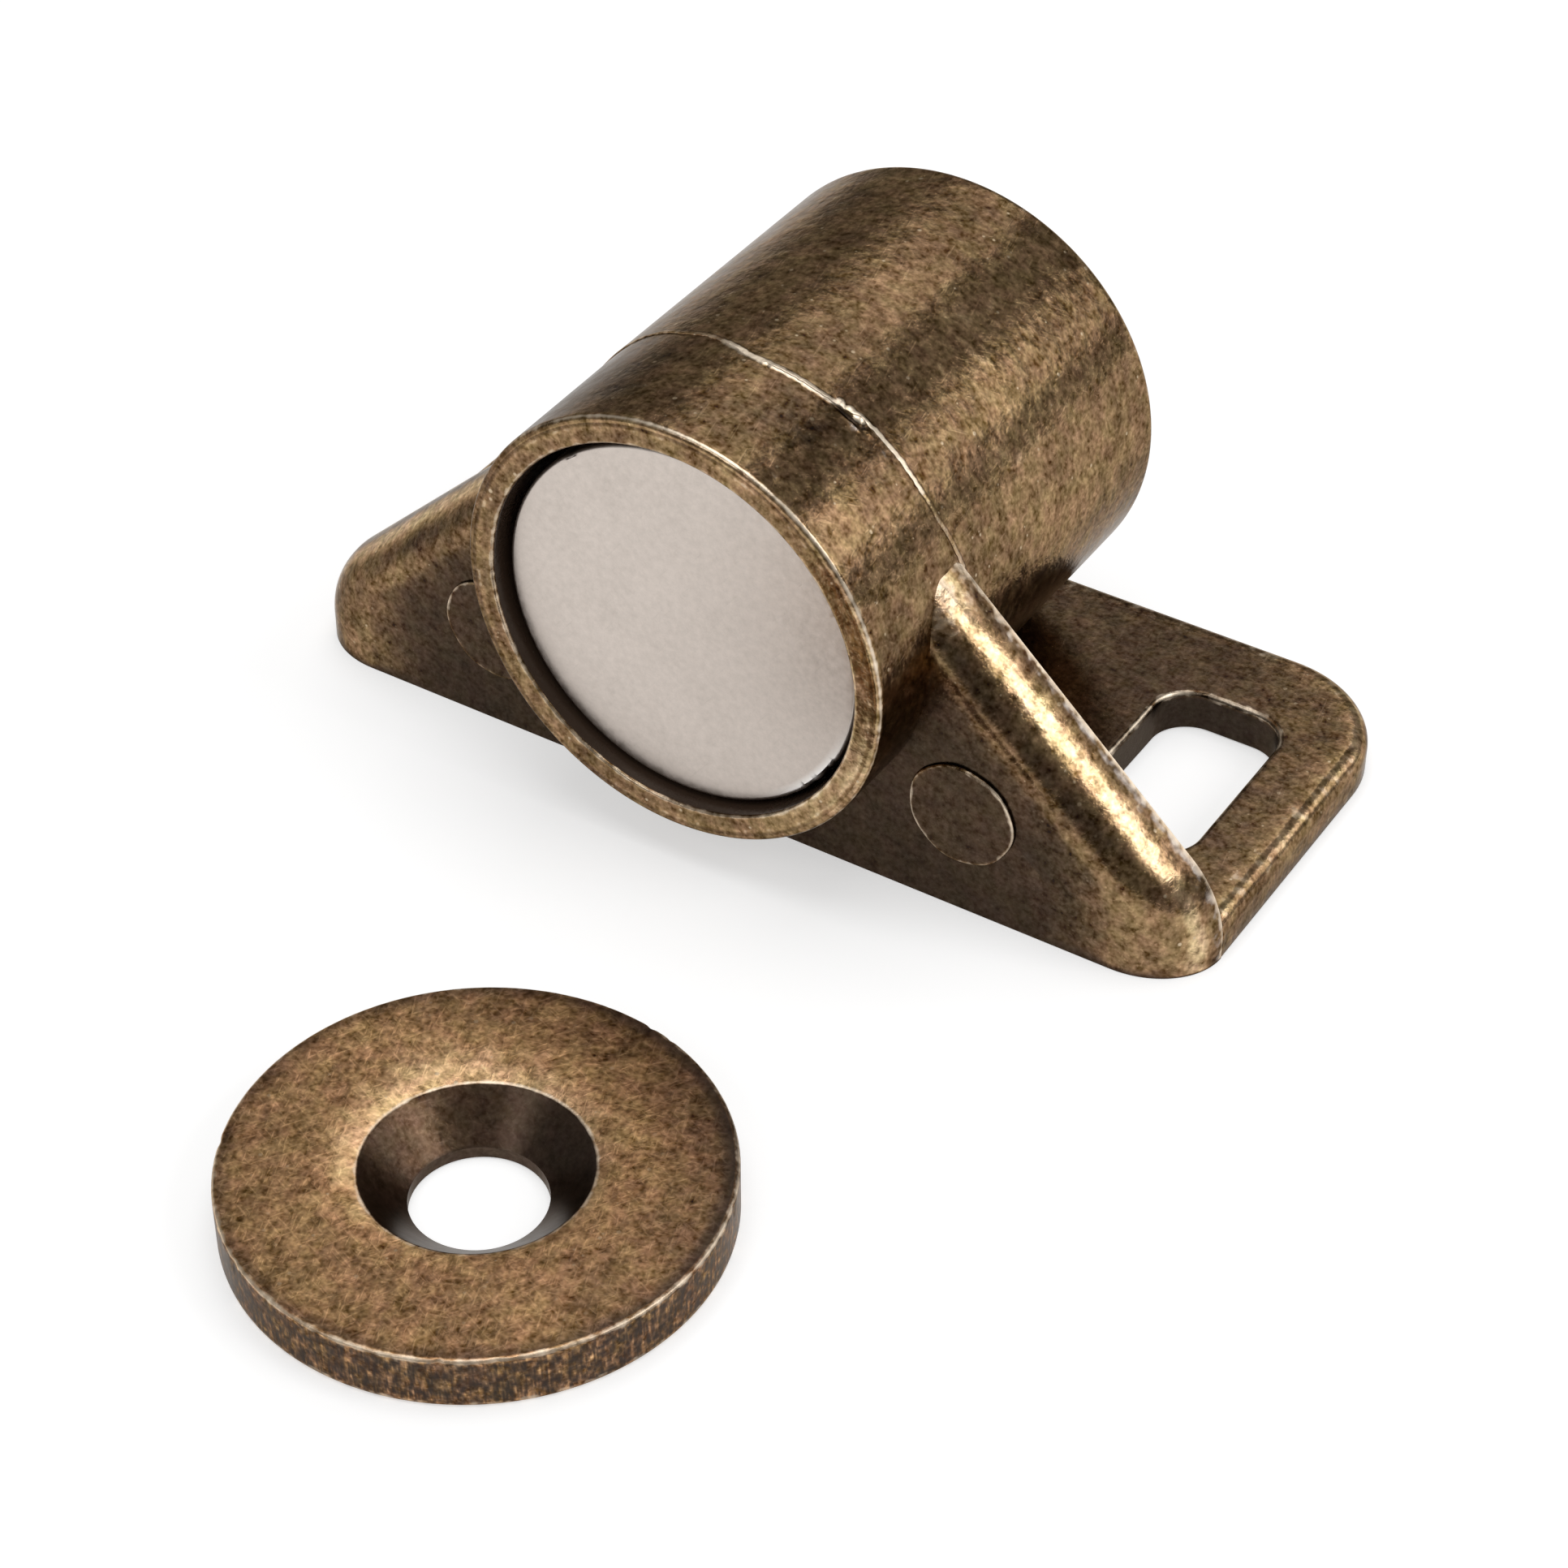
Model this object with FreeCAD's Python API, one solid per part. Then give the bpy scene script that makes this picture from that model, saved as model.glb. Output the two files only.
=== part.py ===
import FreeCAD, Part
import math
import os

# Magnetic catch for a cabinet door, with its round strike disc lying in front of it.
# Millimetres. X runs along the base plate, Y runs from the mouth of the barrel to its closed end,
# Z is up. The origin is on the mounting face, in the middle of the base, in the parting plane of
# the casting: the front half of the mould makes what lies at negative Y, the rear half the rest.

# Barrel of the housing, which lies on the base plate and sinks into it a little
BARREL_D = 15.1
BARREL_SINK = 0.1
RIM_REACH = 5.15
TAIL_REACH = 12.0
FRONT_DRAFT = 0.02
REAR_DRAFT = 0.04
PARTING_STEP = 0.04
TAIL_EDGE_R = 0.35
LIP_EDGE_R = 0.2

# Magnet and its seat, in which the magnet lies a little low
RIM_WALL = 1.0
MAGNET_CLEARANCE = 0.25
MAGNET_DROP = 0.1
MAGNET_THICKNESS = 5.0
MAGNET_RECESS = 0.6
MAGNET_EDGE_R = 0.15
LIP_BEVEL = 0.08

# Triangular side webs in front of the parting plane
BASE_LENGTH = 33.7
WEB_THICKNESS = 2.3
WEB_END_HEIGHT = 2.3
SLOPE_TUCK = 0.95
WEB_CORNER_R = 4.0
SLOPE_ROUND = 1.35
END_ROUND = 2.7
ROUND_STEPS = 6

# Base plate behind the parting plane
PLATE_THICKNESS = 1.5
PLATE_DEPTH = 13.25
PLATE_CORNER_R = 4.0
PLATE_EDGE_R = 0.65
SADDLE_WIDTH = 6.0

# Screw slots, long from front to back
SLOT_WIDTH = 4.35
SLOT_LENGTH = 7.9
SLOT_SIDE_MARGIN = 2.525
SLOT_REAR_MARGIN = 3.55
SLOT_CORNER_R = 1.35
SLOT_EDGE_R = 0.2

# Round marks that the ejector pins leave on the webs
PIN_MARK_D = 3.7
PIN_MARK_GAP = 1.25
PIN_MARK_HEIGHT = 3.8
PIN_MARK_RISE = 0.12

# Strike disc
STRIKE_D = 15.0
STRIKE_THICKNESS = 1.8
STRIKE_HOLE_D = 4.1
COUNTERSINK_D = 6.85
COUNTERSINK_ANGLE = 90.0
STRIKE_EDGE_R = 0.14
STRIKE_OFFSET_X = 3.8
STRIKE_GAP = 8.3

# How far a cutter runs past the face it opens, and how close two sizes count as the same
OVERRUN = 1.0
SAME = 1e-4

AXIS_HEIGHT = PLATE_THICKNESS - BARREL_SINK + BARREL_D / 2
BORE_D = BARREL_D - 2 * RIM_WALL

X_AXIS = FreeCAD.Vector(1, 0, 0)
Y_AXIS = FreeCAD.Vector(0, 1, 0)
Z_AXIS = FreeCAD.Vector(0, 0, 1)
ORIGIN = FreeCAD.Vector(0, 0, 0)


def point(x, y, z):
    return FreeCAD.Vector(x, y, z)


def turned(outline, foot, outward, axis):
    """Solid turned about an axis from (radius, distance along the axis) points."""
    corners = [foot + outward * radius + axis * along for radius, along in outline]
    face = Part.Face(Part.makePolygon(corners + corners[:1]))
    return face.revolve(foot, axis, 360)


def circles(shape, radius, centre):
    """Round edges of one radius about one centre."""
    found = []
    for edge in shape.Edges:
        curve = edge.Curve
        if isinstance(curve, Part.Circle) and abs(curve.Radius - radius) < SAME:
            if (curve.Center - centre).Length < SAME:
                found.append(edge)
    return found


def barrel():
    """Round barrel with draft both ways from the parting plane, where its halves differ a little."""
    rear_r = BARREL_D / 2
    front_r = rear_r - PARTING_STEP
    rim_r = front_r - FRONT_DRAFT
    tail_r = rear_r - REAR_DRAFT
    outline = [(0, -RIM_REACH), (rim_r, -RIM_REACH), (front_r, 0)]
    outline += [(rear_r, 0), (tail_r, TAIL_REACH), (0, TAIL_REACH)]
    body = turned(outline, point(0, 0, AXIS_HEIGHT), X_AXIS, Y_AXIS)
    body = body.makeFillet(TAIL_EDGE_R, circles(body, tail_r, point(0, TAIL_REACH, AXIS_HEIGHT)))
    return body.makeFillet(LIP_EDGE_R, circles(body, rim_r, point(0, -RIM_REACH, AXIS_HEIGHT)))


def magnet_bore():
    """Cutter for the magnet's seat, with the bevelled lip of the rim."""
    bore_r = BORE_D / 2
    mouth_r = bore_r + LIP_BEVEL
    floor_y = -RIM_REACH + MAGNET_RECESS + MAGNET_THICKNESS
    outline = [(0, -RIM_REACH - OVERRUN), (mouth_r, -RIM_REACH - OVERRUN), (mouth_r, -RIM_REACH)]
    outline += [(bore_r, -RIM_REACH + LIP_BEVEL), (bore_r, floor_y), (0, floor_y)]
    return turned(outline, point(0, 0, AXIS_HEIGHT), X_AXIS, Y_AXIS)


def slope_angle():
    """Angle of the line that passes inside the barrel and meets the base's end at its height."""
    half = BASE_LENGTH / 2
    drop = AXIS_HEIGHT - WEB_END_HEIGHT
    return math.atan2(drop, half) + math.asin((BARREL_D / 2 - SLOPE_TUCK) / math.hypot(drop, half))


def web_outline(y, slope_cut, end_cut):
    """Front view of one web at one depth: base, upright end, round corner and sloping edge."""
    slope = slope_angle()
    distance = BARREL_D / 2 - SLOPE_TUCK - slope_cut
    end_x = BASE_LENGTH / 2 - end_cut
    corner_z = AXIS_HEIGHT + (distance - end_x * math.sin(slope)) / math.cos(slope)
    corner_r = WEB_CORNER_R - (slope_cut + end_cut) / 2
    reach = corner_r * math.tan((math.pi / 2 - slope) / 2)
    corner = point(end_x, y, corner_z)
    arc_start = corner - Z_AXIS * reach
    arc_end = corner + point(-math.cos(slope), 0, math.sin(slope)) * reach
    centre = arc_start - X_AXIS * corner_r
    arc_middle = centre + (corner - centre).normalize() * corner_r
    top = point(distance * math.sin(slope), y, AXIS_HEIGHT + distance * math.cos(slope))
    foot = point(end_x, y, 0)
    low_middle = point(0, y, 0)
    high_middle = point(0, y, AXIS_HEIGHT)
    edges = [Part.makeLine(low_middle, foot), Part.makeLine(foot, arc_start)]
    edges.append(Part.Arc(arc_start, arc_middle, arc_end).toShape())
    edges += [Part.makeLine(arc_end, top), Part.makeLine(top, high_middle)]
    edges.append(Part.makeLine(high_middle, low_middle))
    return Part.Wire(edges)


def web():
    """One side web, whose front is rounded off along the slope and round the end."""
    sections = []
    for step in range(ROUND_STEPS + 1):
        turn = math.pi / 2 * step / ROUND_STEPS
        share = 1 - math.cos(turn)
        depth = WEB_THICKNESS * math.sin(turn)
        sections.append(web_outline(-depth, SLOPE_ROUND * share, END_ROUND * share))
    return Part.makeLoft(sections, True, False)


def pin_mark():
    """Low round pad on the web's front, where the ejector pin pushed the casting out."""
    root_x = BARREL_D / 2 + PIN_MARK_GAP
    root = point(root_x, -WEB_THICKNESS + PIN_MARK_RISE, PIN_MARK_HEIGHT)
    pad = Part.makeCylinder(PIN_MARK_D / 2, 2 * PIN_MARK_RISE, root, -Y_AXIS)
    front = circles(pad, PIN_MARK_D / 2, root - Y_AXIS * 2 * PIN_MARK_RISE)
    return pad.makeFillet(PIN_MARK_RISE / 2, front)


def rounded_block(low, high, corner_r, square_y=None):
    """Block between two corners with its upright edges rounded, except those at one Y."""
    size = high - low
    block = Part.makeBox(size.x, size.y, size.z, low)
    upright = []
    for edge in block.Edges:
        stands = edge.BoundBox.ZLength > SAME
        if stands and (square_y is None or abs(edge.CenterOfMass.y - square_y) > SAME):
            upright.append(edge)
    return block.makeFillet(corner_r, upright)


def plate_rims(plate):
    """The plate's upper edges behind the webs, with those of the slots once they are cut."""
    found = []
    for edge in plate.Edges:
        level = edge.BoundBox.ZMin > PLATE_THICKNESS - SAME
        if level and edge.CenterOfMass.y > SAME:
            found.append(edge)
    return found


def slot(side):
    """Cutter for the screw slot on one side of the barrel."""
    middle_x = side * (BASE_LENGTH / 2 - SLOT_SIDE_MARGIN - SLOT_WIDTH / 2)
    rear_y = PLATE_DEPTH - SLOT_REAR_MARGIN
    low = point(middle_x - SLOT_WIDTH / 2, rear_y - SLOT_LENGTH, -OVERRUN)
    high = point(middle_x + SLOT_WIDTH / 2, rear_y, PLATE_THICKNESS + OVERRUN)
    return rounded_block(low, high, SLOT_CORNER_R)


def base_plate():
    """Flat plate with two round rear corners, soft upper edges and two screw slots."""
    half = BASE_LENGTH / 2
    low = point(-half, 0, 0)
    high = point(half, PLATE_DEPTH, PLATE_THICKNESS)
    plate = rounded_block(low, high, PLATE_CORNER_R, square_y=0)
    plate = plate.makeFillet(PLATE_EDGE_R, plate_rims(plate))
    for side in (-1, 1):
        plate = plate.cut(slot(side))
    slot_rims = [edge for edge in plate_rims(plate) if is_slot_rim(edge)]
    return plate.makeFillet(SLOT_EDGE_R, slot_rims)


def is_slot_rim(edge):
    """Whether a level edge lies clear of the plate's own outline."""
    box = edge.BoundBox
    margin = PLATE_EDGE_R + SAME
    furthest = BASE_LENGTH / 2 - margin
    return box.XMin > -furthest and box.XMax < furthest and box.YMax < PLATE_DEPTH - margin


def saddle():
    """Metal between the barrel's underside and the plate, which closes the wedge gaps there."""
    return Part.makeBox(SADDLE_WIDTH, TAIL_REACH - TAIL_EDGE_R, AXIS_HEIGHT,
                        point(-SADDLE_WIDTH / 2, 0, 0))


def housing():
    """The one-piece die casting."""
    right = web().fuse(pin_mark())
    left = right.mirror(ORIGIN, X_AXIS)
    body = barrel().fuse([base_plate(), saddle(), right, left])
    return body.cut(magnet_bore()).removeSplitter()


def magnet():
    """Plated disc magnet, glued into the bore with its face a little below the rim."""
    radius = BORE_D / 2 - MAGNET_CLEARANCE
    front = point(0, -RIM_REACH + MAGNET_RECESS, AXIS_HEIGHT - MAGNET_DROP)
    back = front + Y_AXIS * MAGNET_THICKNESS
    disc = Part.makeCylinder(radius, MAGNET_THICKNESS, front, Y_AXIS)
    return disc.makeFillet(MAGNET_EDGE_R, circles(disc, radius, front) + circles(disc, radius, back))


def strike_disc():
    """Turned steel disc with a countersunk screw hole, which the magnet pulls on."""
    foot = point(STRIKE_OFFSET_X, -RIM_REACH - STRIKE_GAP - STRIKE_D / 2, 0)
    outer_r = STRIKE_D / 2
    hole_r = STRIKE_HOLE_D / 2
    sink_r = COUNTERSINK_D / 2
    sink_depth = (sink_r - hole_r) / math.tan(math.radians(COUNTERSINK_ANGLE / 2))
    outline = [(hole_r, 0), (outer_r, 0), (outer_r, STRIKE_THICKNESS), (sink_r, STRIKE_THICKNESS)]
    outline.append((hole_r, STRIKE_THICKNESS - sink_depth))
    disc = turned(outline, foot, X_AXIS, Z_AXIS)
    rims = circles(disc, outer_r, foot) + circles(disc, outer_r, foot + Z_AXIS * STRIKE_THICKNESS)
    return disc.makeFillet(STRIKE_EDGE_R, rims)


def write(name, shape):
    """One STEP file for one piece."""
    piece = shape.Solids[0] if len(shape.Solids) == 1 else shape
    print(name, "solids", len(shape.Solids), "valid", shape.isValid(), "volume", round(shape.Volume, 2))
    piece.exportStep("parts/" + name + ".step")


os.makedirs("parts", exist_ok=True)
write("housing", housing())
write("magnet", magnet())
write("strike_disc", strike_disc())
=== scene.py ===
import math

import bmesh
import bpy
import numpy as np
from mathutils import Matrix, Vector


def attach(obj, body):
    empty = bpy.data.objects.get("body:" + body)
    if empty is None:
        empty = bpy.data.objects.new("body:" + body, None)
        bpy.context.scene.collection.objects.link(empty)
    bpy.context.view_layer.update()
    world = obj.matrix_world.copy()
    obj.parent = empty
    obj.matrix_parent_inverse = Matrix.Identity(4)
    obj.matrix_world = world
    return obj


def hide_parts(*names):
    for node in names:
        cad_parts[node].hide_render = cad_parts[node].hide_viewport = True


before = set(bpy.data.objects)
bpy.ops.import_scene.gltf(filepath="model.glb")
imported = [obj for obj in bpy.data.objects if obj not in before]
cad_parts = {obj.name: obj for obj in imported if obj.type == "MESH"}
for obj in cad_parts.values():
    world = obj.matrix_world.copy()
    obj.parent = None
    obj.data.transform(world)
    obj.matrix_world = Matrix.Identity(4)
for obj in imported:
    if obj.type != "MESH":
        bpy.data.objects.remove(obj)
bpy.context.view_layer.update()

# Studio. A pale floor under the catch, a plain grey room round it that the camera sees as white, a wide soft
# light overhead and four smaller soft boxes. The camera stands where the photograph was taken.
MM = 0.001
aim = Vector((0.942, -0.091, 0.0)) * MM
turn, rise, reach = math.radians(32.289), math.radians(39.444), 125.18 * MM
towards = Vector((math.sin(turn) * math.cos(rise), -math.cos(turn) * math.cos(rise), math.sin(rise)))
camera = bpy.data.objects.new("camera", bpy.data.cameras.new("camera"))
camera.data.sensor_width = 36.0
camera.data.lens = 88.36
camera.data.clip_start = 0.005
camera.data.clip_end = 20.0
camera.location = aim + towards * reach
camera.rotation_euler = (-towards).to_track_quat("-Z", "Y").to_euler()
bpy.context.scene.collection.objects.link(camera)
bpy.context.scene.camera = camera
bpy.context.scene.view_settings.view_transform = "Standard"


def set_node(tree, kind, links=None, **settings):
    """Adds a shader node. links gives its inputs, each a number, a colour or another node's output."""
    made = tree.nodes.new(kind)
    for name, value in settings.items():
        setattr(made, name, value)
    for place, value in (links or {}).items():
        if isinstance(value, bpy.types.NodeSocket):
            tree.links.new(value, made.inputs[place])
        else:
            made.inputs[place].default_value = value
    return made


def sums(tree, operation, first, second=0.0, third=0.0, clamp=False):
    """One step of arithmetic in a material."""
    return set_node(tree, "ShaderNodeMath", {0: first, 1: second, 2: third},
                    operation=operation, use_clamp=clamp).outputs[0]


def mapped(tree, value, low, high, to_low=0.0, to_high=1.0):
    """A value carried from one range to another, and held at its ends."""
    return set_node(tree, "ShaderNodeMapRange", {"Value": value, "From Min": low, "From Max": high,
                                                 "To Min": to_low, "To Max": to_high}).outputs[0]


def distance_from(tree, place):
    """How far a place lies from zero."""
    return set_node(tree, "ShaderNodeVectorMath", {0: place}, operation="LENGTH").outputs["Value"]


def bare_material(name):
    """An empty node material, and the output node that its shader goes to."""
    made = bpy.data.materials.new(name)
    made.use_nodes = True
    made.node_tree.nodes.clear()
    out = made.node_tree.nodes.new("ShaderNodeOutputMaterial")
    return made, made.node_tree, out


FLOOR_HALF, FLOOR_DROP = 2.0, 2e-5
floor_mesh = bpy.data.meshes.new("floor")
floor_corners = ((-1, -1), (1, -1), (1, 1), (-1, 1))
floor_mesh.from_pydata([(x * FLOOR_HALF, y * FLOOR_HALF, -FLOOR_DROP) for x, y in floor_corners], [], [(0, 1, 2, 3)])
floor = bpy.data.objects.new("floor", floor_mesh)
bpy.context.scene.collection.objects.link(floor)
floor_paint, tree, out = bare_material("floor_paint")
rays = set_node(tree, "ShaderNodeLightPath")
seen = sums(tree, "MAXIMUM", rays.outputs["Is Camera Ray"], rays.outputs["Is Glossy Ray"])
seen = sums(tree, "MAXIMUM", seen, rays.outputs["Is Transmission Ray"])
matt = set_node(tree, "ShaderNodeBsdfDiffuse", {"Color": (0.66, 0.66, 0.66, 1)})
from_middle = distance_from(tree, set_node(tree, "ShaderNodeTexCoord").outputs["Object"])
far = sums(tree, "MULTIPLY", mapped(tree, from_middle, 0.07, 0.4), 0.6)
far = sums(tree, "MULTIPLY", far, rays.outputs["Is Camera Ray"])
lift = set_node(tree, "ShaderNodeEmission", {"Color": (1, 1, 1, 1),
                                             "Strength": sums(tree, "MULTIPLY_ADD", seen, 0.53, far)})
both = set_node(tree, "ShaderNodeAddShader", {0: matt.outputs[0], 1: lift.outputs[0]})
tree.links.new(both.outputs[0], out.inputs["Surface"])
floor_mesh.materials.append(floor_paint)

world = bpy.data.worlds.new("room")
bpy.context.scene.world = world
world.use_nodes = True
rays = set_node(world.node_tree, "ShaderNodeLightPath")
walls = set_node(world.node_tree, "ShaderNodeMix", {0: rays.outputs["Is Camera Ray"], 6: (0.31, 0.308, 0.305, 1),
                                                    7: (1, 1, 1, 1)}, data_type="RGBA")
world.node_tree.links.new(walls.outputs[2], world.node_tree.nodes["Background"].inputs["Color"])


def soft_box(name, direction, away, width, height, brightness):
    """A soft area lamp that faces the catch. Its brightness is that of its face, where 1 is white."""
    lamp = bpy.data.lights.new(name, "AREA")
    lamp.shape = "RECTANGLE"
    lamp.size = width
    lamp.size_y = height
    lamp.energy = brightness * math.pi * width * height
    box = bpy.data.objects.new(name, lamp)
    heading = Vector(direction).normalized()
    box.location = heading * away
    box.rotation_euler = heading.to_track_quat("Z", "Y").to_euler()
    box.visible_camera = False
    bpy.context.scene.collection.objects.link(box)


soft_box("overhead", (0.0, -0.02, 1.0), 0.6, 0.42, 0.42, 2.3)
soft_box("soft_box_behind", (-0.19, 0.62, 0.76), 0.5, 0.27, 0.26, 1.0)
soft_box("soft_box_right", (0.64, 0.62, 0.42), 0.5, 0.20, 0.20, 1.6)
soft_box("soft_box_side", (0.765, 0.125, 0.63), 0.5, 0.21, 0.21, 3.0)
soft_box("soft_box_front", (-0.18, -0.70, 0.69), 0.6, 0.18, 0.18, 2.4)

# Casting, first part: the round barrel. The zinc housing is one die casting: its front mould half and its
# rear one meet at Y = 0, where the rear one's barrel is a hair thicker and a thin flash stands up.
# Rows run round the barrel's axis, from the bottom of the magnet's bore out over the rim to the tail.
AXIS = 8.95
FRONT_R, RIM_R, REAR_R, TAIL_R = 7.51, 7.49, 7.55, 7.51
RIM_Y, TAIL_Y = -5.15, 12.0
BORE_R, BORE_FLOOR_Y, LIP_ROUND, TAIL_ROUND = 6.55, 0.45, 0.2, 0.35


def empty_body():
    """Room for the rows of one piece, and for what its finish needs to know at each point."""
    return {"points": [], "faces": [], "wear_and_painted_highlights": [], "polish_and_painted_light": [], "bare": []}


casting = empty_body()


def add_rows(body, rows, wear_and_painted_highlights, polish_and_painted_light, bare=0.0, lids=True):
    """Adds closed rings of points, one after another, with faces between them and a lid at each end."""
    rows = np.asarray(rows, float)
    count, around = rows.shape[:2]
    start = sum(len(part) for part in body["points"])
    body["points"].append(rows.reshape(-1, 3))
    body["wear_and_painted_highlights"].append(np.broadcast_to(wear_and_painted_highlights, (count, around)).reshape(-1))
    body["polish_and_painted_light"].append(np.broadcast_to(polish_and_painted_light, (count, around)).reshape(-1))
    body["bare"].append(np.broadcast_to(bare, (count, around)).reshape(-1))
    for row in range(count - 1):
        low = start + row * around
        for k in range(around):
            after = (k + 1) % around
            body["faces"].append((low + k, low + after, low + around + after, low + around + k))
    if lids:
        body["faces"].append(tuple(range(start + around - 1, start - 1, -1)))
        body["faces"].append(tuple(start + (count - 1) * around + k for k in range(around)))
    return start


def apart(angle, centre):
    """Degrees round from a centre, from -180 to 180."""
    return (angle - centre + 180) % 360 - 180


def bump_at(angle, along, centre_angle, centre_along, width, length):
    """Smooth hill of height 1 on the barrel, by angle in degrees and place along the axis."""
    return np.exp(-(apart(angle, centre_angle) / width) ** 2 - ((along - centre_along) / length) ** 2)


def uneven(angle, seed, waves, finest):
    """Repeatable wavy line round a piece, from 0 to 1."""
    dice = np.random.default_rng(seed)
    line = np.zeros_like(angle)
    for wave in np.geomspace(waves, finest, 9):
        line += np.sin(np.radians(angle) * round(wave) + dice.uniform(0, 6.28)) * dice.uniform(0.5, 1)
    line = line - line.min()
    return line / line.max()


def rounding(count, first=0):
    """Steps of a rounded edge: number, share of its radius gone inwards, share left along its side."""
    bends = [(step, math.pi / 2 * step / count) for step in range(first, count + 1)]
    return [(step, 1 - math.cos(bend), 1 - math.sin(bend)) for step, bend in bends]


# Sections of the barrel, as (radius, place along the axis, brightness of the worn edge, polish)
profile = [(0.0, BORE_FLOOR_Y, 0, 0.0), (3.2, BORE_FLOOR_Y, 0, 0.0), (BORE_R, BORE_FLOOR_Y, 0, 0.0)]
profile += [(BORE_R, -1.5, 0, 0.0), (BORE_R, -3.2, 0, 0.05), (BORE_R, -4.5, 0, 0.16), (BORE_R, -4.95, 0, 0.2)]
profile += [(BORE_R, -5.03, 0.0, 0.25), (BORE_R + 0.008, -5.07, 0.15, 0.5), (BORE_R + 0.03, -5.105, 0.34, 0.7)]
profile += [(BORE_R + 0.06, -5.135, 0.36, 0.7)]
for place, worn, polish in ((BORE_R + 0.1, 0.16, 0.66), (BORE_R + 0.15, 0.0, 0.62), (6.78, 0, 0.56), (6.9, 0, 0.54),
                            (7.02, 0.0, 0.62), (7.12, 0.06, 0.68), (7.2, 0.0, 0.45), (7.26, 0.0, 0.38)):
    profile.append((place, RIM_Y, worn, polish))
for step, gone, left in rounding(8):
    shine = 0.8 * math.exp(-((step - 5.2) / 1.5) ** 2)
    profile.append((RIM_R - LIP_ROUND * left, RIM_Y + LIP_ROUND * gone, shine, 0.7))
for along in np.linspace(-4.86, -0.62, 20):
    profile.append((RIM_R + (FRONT_R - RIM_R) * (along - RIM_Y) / -RIM_Y, along, 0, 0.53))
for along in (-0.5, -0.4, -0.32, -0.25, -0.19, -0.14, -0.1, -0.06, -0.03):
    profile.append((FRONT_R, along, 0, 0.5))
profile += [(FRONT_R + 0.004, -0.008, 0.1, 0.45), (FRONT_R + 0.03, 0.0, 0.75, 0.7), (REAR_R - 0.01, 0.01, 1.0, 0.8)]
for along, worn, polish in ((0.04, 1.0, 0.8), (0.11, 0.9, 0.7), (0.145, 0.35, 0.45), (0.175, 0.0, 0.30)):
    profile.append((REAR_R, along, worn, polish))
for along in np.concatenate([[0.2, 0.24, 0.3, 0.4, 0.52], np.linspace(0.7, 11.5, 34)]):
    profile.append((REAR_R - (REAR_R - TAIL_R) * along / TAIL_Y, along, 0, 0.57))
for step, gone, left in rounding(8):
    shine = 0.32 * math.exp(-((step - 4.5) / 2.5) ** 2)
    profile.append((TAIL_R - TAIL_ROUND * gone, TAIL_Y - TAIL_ROUND * left, shine, 0.62))
for place, polish in ((6.9, 0.5), (6.3, 0.42), (4.2, 0.4), (2.1, 0.4), (0.0, 0.4)):
    profile.append((place, TAIL_Y, 0, polish))
profile = np.array(profile)

angles = np.concatenate([np.arange(38.0, 110.0, 0.3), np.arange(110.0, 398.0, 0.9)])
radius, along = profile[:, 0:1] + 0 * angles, profile[:, 1:2] + 0 * angles
wear_and_painted_highlights, polish_and_painted_light = profile[:, 2:3] + 0 * angles, profile[:, 3:4] + 0 * angles
from_top = apart(angles, 62)
lip = (radius > 7.28) & (along < -4.9)
rim = (radius > 6.6) & (along < -5.1)
on_wall = (radius > 7.42) & (np.abs(along) < 4.85)
# Painted highlight: the lip's worn line is kept strong round the upper right, where the lamps' reflection runs along
# the lip, and painted shade darkens the lip away from there; the rest of the line is wear.
wear_and_painted_highlights = np.where(lip, wear_and_painted_highlights * (0.30 + 0.70 * np.exp(-(from_top / 62) ** 4)), wear_and_painted_highlights)
polish_and_painted_light = polish_and_painted_light + 0.24 * rim * np.exp(-(apart(angles, -10) / 60) ** 2)
polish_and_painted_light = np.where(lip, polish_and_painted_light - 0.18 * (1 - np.exp(-(from_top / 80) ** 4)), polish_and_painted_light)

# Flash at the parting line: it stands up unevenly, folds forwards over the top, and is thin at the sides
top = np.clip((angles - 63) / 4, 0, 1) * np.clip((101 - angles) / 7, 0, 1)
flash = (0.008 + 0.055 * top) * (0.45 + 0.8 * uneven(angles, 4, 9, 170))
crest = np.exp(-((along - 0.01) / (0.05 + 0.03 * top)) ** 2) * on_wall
radius = radius + flash * crest
line_places = ((16, 0), (21, -0.12), (30, -0.33), (39, -0.40), (49, -0.38), (56, -0.36), (60, -0.40), (66, -0.60),
               (72, -0.66), (88, -0.64), (96, -0.36), (104, -0.08), (112, 0.06), (120, 0.34), (130, 0.56), (142, 0.6),
               (152, 0.3), (168, 0))
shift = np.interp(angles % 360, *zip(*line_places)) + 0.05 * (uneven(angles, 9, 20, 200) - 0.5)
along = along + shift * np.exp(-(along / 0.95) ** 2) * on_wall
thin = np.clip(0.2 + 0.9 * top + 0.85 * np.exp(-((angles - 38) / 27) ** 6), 0.2, 1)
thin = thin * (0.78 + 0.4 * uneven(angles, 12, 14, 240))
wear_and_painted_highlights = np.where(np.abs(profile[:, 1:2]) < 0.2, wear_and_painted_highlights * np.clip(thin, 0, 1), wear_and_painted_highlights)
wear_and_painted_highlights = np.maximum(wear_and_painted_highlights, top * crest * (0.75 + 0.4 * uneven(angles, 13, 20, 240)))

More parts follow.
